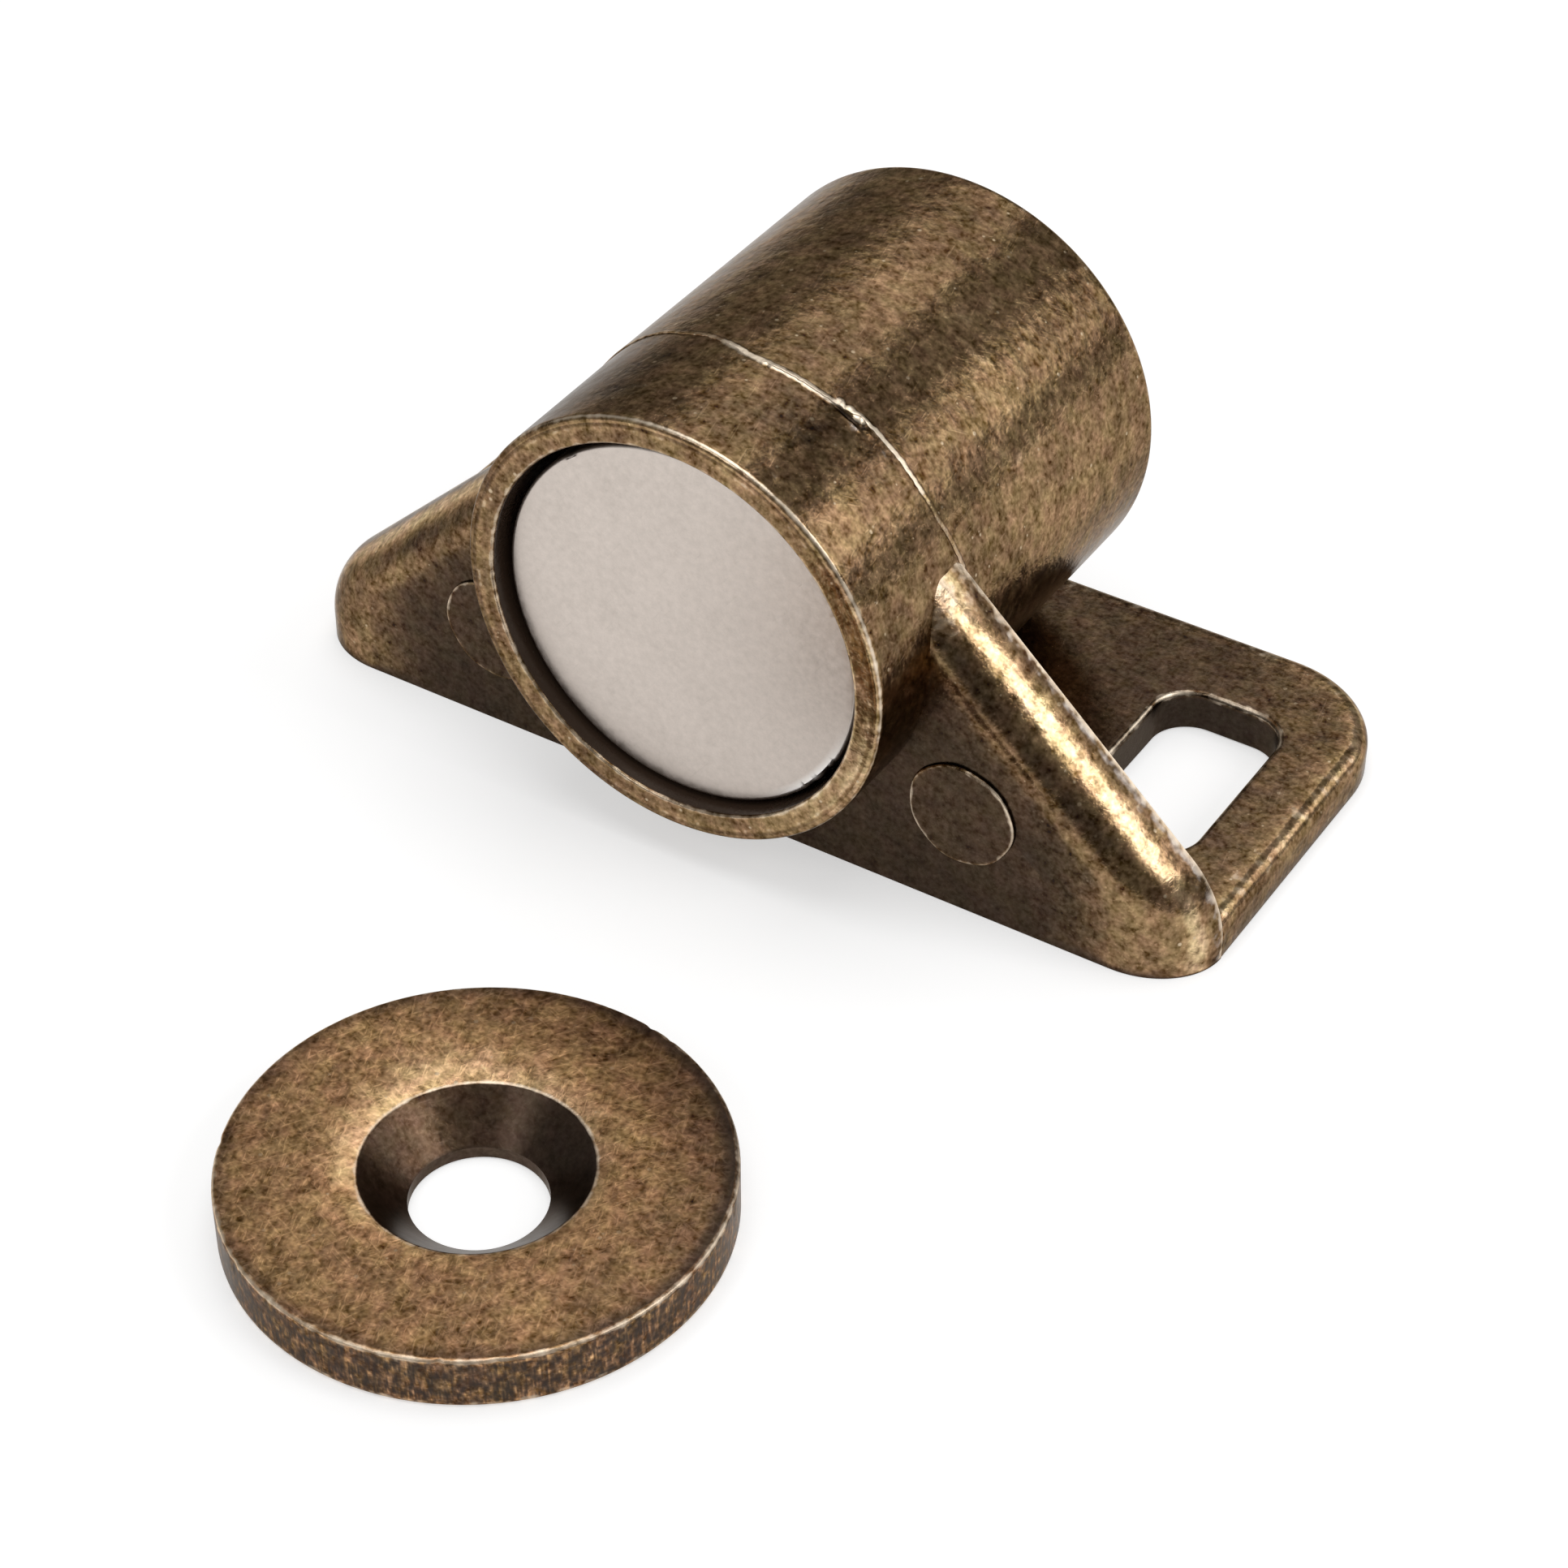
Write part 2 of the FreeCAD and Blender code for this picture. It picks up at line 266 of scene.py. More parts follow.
# Three beads of metal beside a crevice in that line, with its torn lip in front, and a pit near the rim
for centre, place, high, wide, long_ in ((65.6, -0.40, 0.07, 1.1, 0.12), (62.7, -0.36, 0.06, 1.1, 0.10),
                                         (59.8, -0.40, 0.11, 1.7, 0.17)):
    hill = bump_at(angles, along, centre, place, wide, long_)
    radius = radius + high * hill
    # The beads' bright worn colour is partly wear on bare metal and partly a painted glint.
    wear_and_painted_highlights = np.maximum(wear_and_painted_highlights, 1.3 * hill * (hill > 0.3))
nick = bump_at(angles, along, 62.0, -0.62, 3.2, 0.08) + 0.7 * bump_at(angles, along, 57.6, -0.52, 0.8, 0.12)
radius = radius - 0.07 * nick
polish_and_painted_light = polish_and_painted_light - 0.9 * nick
wear_and_painted_highlights = wear_and_painted_highlights * (1 - np.clip(nick, 0, 1))
torn = bump_at(angles, along, 59.6, -0.80, 1.9, 0.07) + bump_at(angles, along, 56.4, -0.58, 1.3, 0.09)
radius = radius + 0.05 * torn
polish_and_painted_light = polish_and_painted_light + 0.4 * torn
graze = bump_at(angles, along, 48.4, -0.62, 3.6, 0.13) * on_wall
pit = bump_at(angles, along, 63.2, -4.42, 1.1, 0.09) * (radius > 7.3)
radius = radius - 0.07 * pit + 0.05 * bump_at(angles, along, 63.7, -4.50, 1.4, 0.07) * (radius > 7.3)
wear_and_painted_highlights = np.maximum(wear_and_painted_highlights, 0.9 * bump_at(angles, along, 63.7, -4.50, 1.2, 0.06))

# Clouds of darker patina and of polished metal where the tumbling left them, and painted light among them: the long
# bands down the barrel at 102, 76, 60, 43, 29 and 2 degrees are painted reflection stripes, lighter and darker,
# and the dark patch over the front's left flank at 134 degrees is painted shade. Columns: (angle, place along the
# axis, width in degrees, length, change of polish)
patina_and_painted_bands = ((68, -1.9, 9, 1.2, -0.16), (47, -4.0, 10, 0.9, 0.16), (42, -2.2, 12, 1.2, 0.06), (82, -3.4, 14, 1.3, -0.06),
          (42, 4.3, 20, 2.6, 0.10), (102, 2.0, 7, 9.0, 0.09), (62, 1.4, 16, 1.2, -0.08), (22, 7.5, 20, 3.0, 0.05),
          (6, -2.5, 20, 2.5, -0.07), (-30, -2.5, 30, 2.5, -0.03), (134, -2.6, 22, 3.2, -0.36), (76, 6, 6, 6.5, -0.05),
          (60, 6, 8, 6.5, 0.11), (43, 6, 5, 6.5, -0.06), (29, 6, 5, 6.5, 0.12), (2, 6, 18, 6.5, 0.06),
          (30, -2.5, 5, 2.4, 0.06), (60, -3.2, 8, 1.6, 0.03))
for centre, place, wide, long_, amount in patina_and_painted_bands:
    # Adds the patina clouds, the painted reflection stripes and the painted shade to the polish.
    polish_and_painted_light = polish_and_painted_light + amount * bump_at(angles, along, centre, place, wide, long_) * (radius > 7.3)
heights = np.minimum(radius * np.sin(np.radians(angles)), REAR_R - 0.005)
rows = np.stack([radius * np.cos(np.radians(angles)), along, AXIS + heights], 2)
add_rows(casting, rows, wear_and_painted_highlights, polish_and_painted_light, 0.7 * torn + 0.45 * graze, lids=False)

# Casting, second part: the triangular side webs of the front mould half. Their fronts are rounded off
# along the slope and more round the ends, and the sharp rear edge in the parting plane is worn bright.
HALF_BASE, WEB_DEPTH, END_HEIGHT, CORNER_R = 16.85, 2.3, 2.3, 4.0
SLOPE_DISTANCE, SLOPE_ROUND, END_ROUND = 6.6, 1.35, 2.7
REAR_EDGE, SWELL_PLACE, SWELL_LENGTH = 0.05, 3.0, 1.8
slope = math.atan2(AXIS - END_HEIGHT, HALF_BASE) + math.asin(SLOPE_DISTANCE / math.hypot(AXIS - END_HEIGHT, HALF_BASE))


def web_ring(side, depth, slope_cut, end_cut, swell=0.0):
    """Ring of points round one web at one depth, from the foot's inner end out and up over the slope, which
    swells by a little where it leaves the barrel."""
    distance = SLOPE_DISTANCE - slope_cut
    end_x = HALF_BASE - end_cut
    corner_z = AXIS + (distance - end_x * math.sin(slope)) / math.cos(slope)
    bend_r = max(CORNER_R - (slope_cut + end_cut) / 2, 0.3)
    arm = bend_r * math.tan((math.pi / 2 - slope) / 2)
    top_x, top_z = distance * math.sin(slope), AXIS + distance * math.cos(slope)
    outline = [(end_x * share, 0.0) for share in np.linspace(0, 1, 30)]
    outline += [(end_x, (corner_z - arm) * share) for share in np.linspace(0, 1, 10)[1:]]
    for turned in np.linspace(0, math.pi / 2 - slope, 26)[1:]:
        outline.append((end_x - bend_r * (1 - math.cos(turned)), corner_z - arm + bend_r * math.sin(turned)))
    last_x, last_z = outline[-1]
    for share in np.linspace(0, 1, 110)[1:]:
        x, z = last_x + (top_x - last_x) * share, last_z + (top_z - last_z) * share
        out_from_foot = x * math.cos(slope) - (z - AXIS) * math.sin(slope)
        rise = swell * math.exp(-((out_from_foot - SWELL_PLACE) / SWELL_LENGTH) ** 2)
        outline.append((x + rise * math.sin(slope), z + rise * math.cos(slope)))
    outline += [(top_x * (1 - share), top_z + (2.0 - top_z) * share) for share in np.linspace(0, 1, 12)[1:]]
    return np.array([(side * x, -depth, z) for x, z in outline])


for side in (1, -1):
    rings = [web_ring(side, 0.0, 0.45, 0.45), web_ring(side, 0.0, 0.14, 0.14)]
    ring_wear_and_painted_highlights, ring_polish_and_painted_light, ring_bare = [0, 0], [0.34, 0.4], [0, 0]
    for share, glow, polish in ((0.0, 0.3, 0.6), (0.35, 0.62, 0.7), (0.7, 0.60, 0.7)):
        trim = REAR_EDGE * (1 - share) ** 2
        rings.append(web_ring(side, REAR_EDGE * share, trim, trim))
        ring_wear_and_painted_highlights.append(glow)
        ring_polish_and_painted_light.append(polish)
        ring_bare.append(0.3)
    for step in range(2, 37):
        bend = math.pi / 2 * step / 36
        cut = 1 - math.cos(bend)
        tilt = math.degrees(bend)
        swell = float(np.interp(tilt, [0, 19, 31, 54, 70, 90], [0, 0.07, 0.20, 0.30, 0.26, 0.2]))
        rings.append(web_ring(side, WEB_DEPTH * math.sin(bend), SLOPE_ROUND * cut, END_ROUND * cut, swell))
        ring_wear_and_painted_highlights.append(0.2 * math.exp(-((step - 2) / 0.9) ** 2))
        # Polish across the rounding: a painted highlight peaks at tilt 29, where the side lamp's reflection runs along
        # the ridge, painted shade dips at tilt 62, where the rounding mirrors the dark room, and a darker band lies at
        # tilt 9 by the rear edge.
        ring_polish_and_painted_light.append(0.56 + 0.46 * math.exp(-((tilt - 29) / 12) ** 2) - 0.22 * math.exp(-((tilt - 62) / 13) ** 2)
                           - 0.30 * math.exp(-((tilt - 9) / 6) ** 2))
        ring_bare.append(0.5 * math.exp(-((tilt - 6) / 4.5) ** 2))
    for inset, polish in ((0.06, 0.54), (0.16, 0.44), (0.3, 0.33), (0.55, 0.27), (0.9, 0.22), (1.4, 0.17), (2.0, 0.13)):
        rings.append(web_ring(side, WEB_DEPTH, SLOPE_ROUND + inset, END_ROUND + inset, 0.2 * math.exp(-inset)))
        ring_wear_and_painted_highlights.append(0.0)
        ring_polish_and_painted_light.append(polish)
        ring_bare.append(0.0)
    rings = np.array(rings)
    outwards, back, up = np.abs(rings[:, :, 0]), rings[:, :, 1], rings[:, :, 2]
    # Painted highlight on the ridge's nose where it leaves the barrel: polish and worn brightness rise there so the
    # lamp's highlight runs on to it.
    painted_nose_highlight = np.exp(-((outwards - 7.3) / 0.55) ** 2 - ((back + 1.15) / 0.75) ** 2) * (up > 10)
    rubbed_end = 0.58 * np.clip((outwards - 10.5) / 4.5, 0, 1) * (up > 0.3)
    ring_wear_and_painted_highlights = np.array(ring_wear_and_painted_highlights)[:, None] + 0.34 * painted_nose_highlight
    ring_polish_and_painted_light = np.maximum(np.array(ring_polish_and_painted_light)[:, None] + 0.4 * painted_nose_highlight, rubbed_end)
    ring_bare = np.array(ring_bare)[:, None] * np.clip((outwards - 7.5) / 3.5, 0, 1)
    foot = up < 0.02
    ring_wear_and_painted_highlights[foot] = 0.0
    ring_polish_and_painted_light[foot] = 0.1
    ring_bare[foot] = 0.0
    add_rows(casting, rings, ring_wear_and_painted_highlights, ring_polish_and_painted_light, ring_bare)

# Casting, third part: low round marks on both webs, where the ejector pins pushed the casting out of the
# mould. Each stands a tenth of a millimetre proud, with a thin ring polished bright round its edge.
MARK_X, MARK_Z, MARK_R, MARK_RISE = 8.8, 3.8, 1.85, 0.12
rounds = np.radians(np.arange(0, 360, 3.0))
wobble = 1 + 0.012 * np.sin(3 * rounds + 0.7) + 0.008 * np.sin(7 * rounds + 2)
mark_glow = np.clip(0.55 + 0.45 * np.sin(rounds * 2 + 0.9), 0.35, 1)
# Steps out of the web and inwards over the mark: share of its radius, height, worn edge, polish
mark_steps = np.array(((0.0, -0.3, 0, 0.1), (1.0, -0.3, 0, 0.1), (1.0, 0.0, 0, 0.02), (1.0, 0.06, 0.15, 0.2),
                       (0.992, 0.10, 0.7, 0.5), (0.975, MARK_RISE, 0.75, 0.5), (0.95, MARK_RISE, 0.3, 0.3),
                       (0.92, MARK_RISE, 0, 0.2), (0.6, MARK_RISE, 0, 0.18), (0.0, MARK_RISE, 0, 0.18)))
for side, glow in ((1, 0.75), (-1, 0.45)):
    rings = []
    for share, height in mark_steps[:, :2]:
        out_by = MARK_R * share * wobble
        rings.append(np.stack([side * (MARK_X + out_by * np.cos(rounds)), np.full_like(rounds, -WEB_DEPTH - height),
                               MARK_Z + out_by * np.sin(rounds)], 1))
    add_rows(casting, rings, mark_steps[:, 2:3] * mark_glow * glow, mark_steps[:, 3:4], lids=False)

# Casting, fourth part: the base plate of the rear mould half, with soft upper edges, two round rear
# corners and two screw slots, and the narrow saddle of metal that carries the barrel on it.
PLATE_Z, PLATE_REAR, PLATE_CORNER, PLATE_ROUND = 1.5, 13.25, 4.0, 0.65
SLOT_X, SLOT_WIDE, SLOT_FRONT, SLOT_REAR, SLOT_CORNER, SLOT_ROUND = 12.15, 4.35, 1.8, 9.7, 1.35, 0.2
SADDLE_HALF, SADDLE_REAR, SADDLE_TOP = 3, 11.65, 4.0


def plate_ring(inset, height):
    """Ring round the plate: up one side, round both rear corners, down the other, then along the front."""
    bend = PLATE_CORNER - inset
    outline = [(HALF_BASE - inset, y) for y in np.linspace(0, PLATE_REAR - PLATE_CORNER, 40)]
    for a in np.linspace(0, math.pi / 2, 32)[1:]:
        outline.append((HALF_BASE - PLATE_CORNER + bend * math.cos(a), PLATE_REAR - PLATE_CORNER + bend * math.sin(a)))
    outline += [(x, PLATE_REAR - inset) for x in np.linspace(HALF_BASE - PLATE_CORNER, 0, 40)[1:]]
    outline += [(-x, y) for x, y in outline[-2::-1]]
    outline += [(x, 0.0) for x in np.linspace(-HALF_BASE + inset, HALF_BASE - inset, 40)[1:-1]]
    return np.array([(x, y, height) for x, y in outline])


def slot_ring(side, outset, height):
    """Ring round one screw slot, widened by a small amount."""
    middle = (SLOT_FRONT + SLOT_REAR) / 2
    half_x, half_y = SLOT_WIDE / 2 - SLOT_CORNER, (SLOT_REAR - SLOT_FRONT) / 2 - SLOT_CORNER
    bend, outline = SLOT_CORNER + outset, []
    corners = ((1, 1), (-1, 1), (-1, -1), (1, -1))
    for quarter, (sx, sy) in enumerate(corners):
        for a in np.linspace(0, math.pi / 2, 17) + quarter * math.pi / 2:
            outline.append((side * SLOT_X + sx * half_x + bend * math.cos(a),
                            middle + sy * half_y + bend * math.sin(a)))
        start_x, start_y = outline[-1]
        next_x, next_y = corners[(quarter + 1) % 4]
        end_x = side * SLOT_X + next_x * half_x + bend * math.cos(a)
        end_y = middle + next_y * half_y + bend * math.sin(a)
        for share in np.linspace(0, 1, 14)[1:-1]:
            outline.append((start_x + (end_x - start_x) * share, start_y + (end_y - start_y) * share))
    return np.array([(x, y, height) for x, y in outline])


# Steps up each edge, as (how far in from the outline, height, brightness of the worn edge, polish)
plate_steps = [(0.06, 0.0, 0, 0.2), (0.015, 0.015, 0.1, 0.4), (0.0, 0.06, 0.1, 0.5), (0.0, 0.45, 0, 0.60),
               (0.0, 0.85, 0, 0.66)]
# Polish and worn brightness peak part way round the top rounding: a painted highlight over the band where that rounding
# mirrors the dark room.
for step, gone, left in rounding(12, 1):
    glow = math.exp(-((step - 8) / 4.0) ** 2)
    plate_steps.append((PLATE_ROUND * gone, PLATE_Z - PLATE_ROUND * left, 0.14 * glow, 0.54 + 0.3 * glow))
plate_steps += [(0.9, PLATE_Z, 0, 0.50), (1.3, PLATE_Z, 0, 0.42)]
slot_steps = [(0.04, 0.0, 0, 0.1), (0.0, 0.05, 0, 0.06), (0.0, 0.6, 0, 0.03), (0.0, 1.22, 0, 0.04),
              (0.0, 1.3, 0.1, 0.2)]
for step, gone, left in rounding(6, 1):
    glow = math.exp(-((step - 2.5) / 1.6) ** 2)
    slot_steps.append((SLOT_ROUND * gone, PLATE_Z - SLOT_ROUND * left, glow, 0.3 + 0.4 * glow))
slot_steps += [(0.32, PLATE_Z, 0, 0.38), (0.6, PLATE_Z, 0, 0.40)]

open_edges = []
for make_ring, steps in ((plate_ring, plate_steps), (lambda inset, height: slot_ring(1, inset, height), slot_steps),
                         (lambda inset, height: slot_ring(-1, inset, height), slot_steps)):
    rings = np.array([make_ring(offset, height) for offset, height, _, _ in steps])
    steps = np.array(steps)
    near_end = np.clip((rings[:, :, 0] - 11.0) / 3.0, 0, 1) + np.clip((-rings[:, :, 0] - 11.0) / 3.0, 0, 1)
    patchy = 0.65 + 0.35 * np.sin(rings[:, :, 1] * 3.1 + rings[:, :, 0] * 1.7)
    start = add_rows(casting, rings, steps[:, 2:3] * patchy, steps[:, 3:4] * (0.62 + 0.38 * near_end), lids=False)
    open_edges.append((start, rings.shape[1], len(steps)))

saddle_rings = []
for place in (0.1, 2.0, 4.0, 6.0, 8.0, 10.0, 11.6, SADDLE_REAR):
    half = SADDLE_HALF - (0.05 if place == SADDLE_REAR else 0.0)
    right_side = [(half, 0.5), (half, 1.5), (half, 2.1), (SADDLE_HALF - 0.1, SADDLE_TOP)]
    saddle_rings.append([(x, place, z) for x, z in right_side] + [(-x, place, z) for x, z in right_side[::-1]])
add_rows(casting, saddle_rings, 0.0, 0.2)


def make_piece(name, body, open_rings=()):
    """Builds the mesh object from its rows. Open rings are closed by one flat fill below and one above."""
    mesh = bpy.data.meshes.new(name)
    mesh.from_pydata((np.concatenate(body["points"]) * MM).tolist(), [], body["faces"])
    for kind in ("wear_and_painted_highlights", "polish_and_painted_light", "bare"):
        held = mesh.attributes.new(kind, "FLOAT", "POINT")
        held.data.foreach_set("value", np.clip(np.concatenate(body[kind]), 0, 1).astype(np.float32))
    work = bmesh.new()
    work.from_mesh(mesh)
    work.verts.ensure_lookup_table()
    for level in (0, 1):
        edges = []
        for start, around, count in open_rings:
            low = start + (count - 1) * around * level
            ring = [work.verts[low + k] for k in range(around)]
            edges += [work.edges.get((ring[k], ring[(k + 1) % around])) for k in range(around)]
        if edges:
            bmesh.ops.triangle_fill(work, edges=edges, use_beauty=True)
    bmesh.ops.remove_doubles(work, verts=work.verts, dist=1e-7)
    bmesh.ops.recalc_face_normals(work, faces=work.faces)
    work.to_mesh(mesh)
    work.free()
    mesh.shade_smooth()
    mesh.set_sharp_from_angle(angle=math.radians(38))
    made = bpy.data.objects.new(name, mesh)
    bpy.context.scene.collection.objects.link(made)
    return made


housing = make_piece("housing_casting", casting, open_edges)

# Finish of the casting: bronze plate, darkened to a brown-black patina and then tumbled, so that metal
# shows as golden grain and short hair scratches, and bright where edges rubbed.


def placed(tree, operation, first, second=(0, 0, 0), third=(0, 0, 0)):
    """One step of arithmetic on a place or a colour."""
    return set_node(tree, "ShaderNodeVectorMath", {0: first, 1: second, 2: third}, operation=operation).outputs[0]


def spot_in_mm(tree):
    """Where a point of the piece lies, in millimetres."""
    place = set_node(tree, "ShaderNodeTexCoord").outputs["Object"]
    return set_node(tree, "ShaderNodeVectorMath", {0: place, "Scale": 1 / MM}, operation="SCALE").outputs[0]


def told_by_mesh(tree, kind):
    """What the mesh says of each point, from 0 to 1: wear with painted highlights, polish with painted light, or bare.
    """
    return set_node(tree, "ShaderNodeAttribute", attribute_name=kind).outputs["Fac"]


def stretched(tree, place, heading, across, along, seed, low, high):
    """Short streaks that run one way: 1 on a streak, 0 beside it. Sizes are streaks to the millimetre."""
    turned = set_node(tree, "ShaderNodeVectorRotate", {"Vector": place, "Rotation": heading},
                      rotation_type="EULER_XYZ").outputs[0]
    scaled = placed(tree, "MULTIPLY", turned, (along, across, across))
    moved = placed(tree, "ADD", scaled, (seed, seed * 0.7, -seed))
    streaks = set_node(tree, "ShaderNodeTexNoise", {"Vector": moved, "Scale": 1.0, "Detail": 1.0, "Roughness": 0.6})
    return mapped(tree, streaks.outputs["Fac"], low, high)


def patches(tree, place, size, seed, detail, roughness=0.55):
    """Cloudy noise round 0, with this many patches to the millimetre."""
    moved = placed(tree, "ADD", place, (seed, -seed, seed * 0.5))
    cloud = set_node(tree, "ShaderNodeTexNoise", {"Vector": moved, "Scale": size, "Detail": detail,
                                                  "Roughness": roughness})
    return sums(tree, "SUBTRACT", cloud.outputs["Fac"], 0.5)


def blended(tree, share, under, over, kind="MIX"):
    """One colour laid over another by a share from 0 to 1."""
    return set_node(tree, "ShaderNodeMix", {0: share, 6: under, 7: over}, data_type="RGBA", blend_type=kind).outputs[2]


def hair_scratches(tree, place, headings, scratch, seed):
    """Hair scratches that run in several headings. scratch is how many lie across and along a millimetre,
    and the levels of the noise between which one fades in."""
    across, along, low, high = scratch
    hairs = stretched(tree, place, headings[0], across, along, seed, low, high)
    for number, heading in enumerate(headings[1:], 1):
        more = stretched(tree, place, heading, across, along, seed + 11 * number, low, high)
        hairs = sums(tree, "MAXIMUM", hairs, more)
    return hairs


def round_flecks(tree, place):
    """Small round flecks of uneven size: 1 on a fleck, 0 beside it."""
    cells = set_node(tree, "ShaderNodeTexVoronoi", {"Vector": place, "Scale": 3.1})
    chosen = set_node(tree, "ShaderNodeSeparateColor", {"Color": cells.outputs["Color"]})
    size = mapped(tree, chosen.outputs["Red"], 0.70, 1.0, 0.0, 0.28)
    return sums(tree, "MULTIPLY", sums(tree, "SUBTRACT", size, cells.outputs["Distance"]), 9.0, clamp=True)


def patina_colour(tree, shown, colours):
    """Colour from dark patina to bare bronze, by the share of metal that shows."""
    ramp = set_node(tree, "ShaderNodeValToRGB", {"Fac": shown})
    ramp.color_ramp.elements.remove(ramp.color_ramp.elements[1])
    ramp.color_ramp.elements[0].position = 0.0
    ramp.color_ramp.elements[0].color = (*colours[0], 1)
    for step, colour in enumerate(colours[1:], 1):
        ramp.color_ramp.elements.new(step / (len(colours) - 1)).color = (*colour, 1)
    return ramp.outputs["Color"]


def worn_patches(tree, share, gain, offset, mottle, spread):
    """Worn places from the mesh, broken up by the mottle, and none where the mesh says nothing is worn."""
    broken = sums(tree, "MULTIPLY_ADD", mottle, spread, sums(tree, "MULTIPLY_ADD", share, gain, offset))
    return sums(tree, "MULTIPLY", broken, sums(tree, "GREATER_THAN", share, 0.02), clamp=True)


def inside_bore(tree, place, bore):
    """1 on the wall and floor of the bore round the barrel's axis, 0 elsewhere."""
    off_axis = distance_from(tree, placed(tree, "MULTIPLY_ADD", place, (1.0, 0.0, 1.0), (0.0, 0.0, -AXIS)))
    along = set_node(tree, "ShaderNodeSeparateXYZ", {0: place}).outputs["Y"]
    near_axis = sums(tree, "LESS_THAN", off_axis, bore + 0.004)
    return sums(tree, "MULTIPLY", near_axis, sums(tree, "LESS_THAN", along, 1.0))


def bronze_finish(name, colours, seed, headings, scratch, contrast, roughness, lacquer, bore=None):
    """Relieved patina. The mesh says how far each place is polished, with painted highlights and painted shade in that
    polish, how brightly its edge is worn, with painted glints among the worn places, and where the plate is gone. The
    wall of a bore, where one is named, keeps a matt brown skin."""
    paint, tree, out = bare_material(name)
    place = spot_in_mm(tree)
    polish = told_by_mesh(tree, "polish_and_painted_light")
    cloud = patches(tree, place, 0.4, seed, 3.0)
    blotch = patches(tree, place, 1.5, seed + 3, 3.0)
    mottle = patches(tree, place, 2.6, seed + 6, 1.5)
    grain = patches(tree, place, 6.0, seed + 9, 1.3)
    hairs = hair_scratches(tree, place, headings, scratch, seed)
    flecks = round_flecks(tree, place)

    # How much metal shows, which varies less in the darkest places
    lively = mapped(tree, polish, 0.04, 0.42, 0.22, 1.0)
    varied = sums(tree, "MULTIPLY", cloud, 0.50 * contrast)
    varied = sums(tree, "MULTIPLY_ADD", blotch, 0.50 * contrast, varied)
    varied = sums(tree, "MULTIPLY_ADD", mottle, 0.20 * contrast, varied)
    shown = sums(tree, "MULTIPLY_ADD", varied, lively, polish)
    shown = sums(tree, "SUBTRACT", shown, 0.02, clamp=True)

    # Its colour, with greener and redder places and a creamy light on the fine grain
    reddish = mapped(tree, patches(tree, place, 1.3, seed + 20, 3.0, 0.6), -0.14, 0.14)
    hue = blended(tree, reddish, (0.99, 1.01, 0.90, 1), (1.03, 0.935, 0.96, 1))
    metal_colour = blended(tree, 1.0, patina_colour(tree, shown, colours), hue, "MULTIPLY")
    fine = sums(tree, "MULTIPLY_ADD", mottle, 7.5, sums(tree, "MULTIPLY", grain, 11.0))
    fine = sums(tree, "MULTIPLY", sums(tree, "MULTIPLY_ADD", hairs, 2.2, fine), lively)
    creamy = placed(tree, "MULTIPLY_ADD", metal_colour, (0.15, 0.15, 0.15), (0.0085, 0.0078, 0.0070))
    grained = placed(tree, "MULTIPLY_ADD", creamy, fine, metal_colour)
    grained = placed(tree, "MAXIMUM", grained, (0.012, 0.008, 0.005))
    sparks = sums(tree, "MULTIPLY_ADD", polish, 2.2 * contrast, 2.0 * contrast - 2.5, clamp=True)
    flecked = blended(tree, sums(tree, "MULTIPLY", flecks, sparks), grained, (0.55, 0.43, 0.29, 1))

    # Bare zinc, the bore's matt skin and rubbed edges, some of them painted glints, lie over it
    zinc = worn_patches(tree, told_by_mesh(tree, "bare"), 1.5, -0.45, mottle, 2.4)
    worn = blended(tree, zinc, flecked, (0.40, 0.37, 0.36, 1))
    metallic = 1.0
    if bore:
        in_bore = inside_bore(tree, place, bore)
        worn = blended(tree, in_bore, worn, (0.052, 0.032, 0.021, 1))
        metallic = sums(tree, "SUBTRACT", 1.0, in_bore)
    rubbed = worn_patches(tree, told_by_mesh(tree, "wear_and_painted_highlights"), 1.45, -0.2, mottle, 1.6)
    worn = blended(tree, rubbed, worn, (0.92, 0.78, 0.61, 1))

    rough = sums(tree, "MULTIPLY_ADD", shown, -0.08, roughness)
    for part, amount in ((blotch, 0.12), (mottle, 0.14), (rubbed, 0.14)):
        rough = sums(tree, "MULTIPLY_ADD", part, amount, rough)
    height = sums(tree, "MULTIPLY_ADD", mottle, 1.6, sums(tree, "MULTIPLY", grain, 0.5))
    for part, amount in ((hairs, 0.25), (flecks, 0.20), (blotch, 5.0), (cloud, 9.0)):
        height = sums(tree, "MULTIPLY_ADD", part, amount, height)
    height = sums(tree, "MULTIPLY", height, lively)
    bumped = set_node(tree, "ShaderNodeBump", {"Strength": 0.5, "Distance": 0.000012, "Height": height})
    coat = sums(tree, "MULTIPLY_ADD", shown, -lacquer, lacquer, clamp=True)
    shader = set_node(tree, "ShaderNodeBsdfPrincipled", {
        "Base Color": worn, "Metallic": metallic, "Specular Tint": (0.58, 0.54, 0.50, 1), "Coat Weight": coat,
        "Coat Roughness": 0.3, "Roughness": rough, "Normal": bumped.outputs[0]})
    tree.links.new(shader.outputs[0], out.inputs["Surface"])
    return paint


cast_bronze = ((0.025, 0.0156, 0.0095), (0.071, 0.0440, 0.0245), (0.159, 0.1000, 0.0510), (0.300, 0.198, 0.104),
               (0.560, 0.420, 0.255))
tumbled = ((0.0, 0.0, 1.35), (0.5, 0.4, 0.7), (0.2, -0.7, 2.2))
housing.data.materials.append(bronze_finish("relieved_bronze", cast_bronze, 2.0, tumbled, (10.0, 0.6, 0.66, 0.74),
                                            contrast=1.0, roughness=0.27, lacquer=0.16, bore=BORE_R))
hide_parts("housing")
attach(housing, "root")

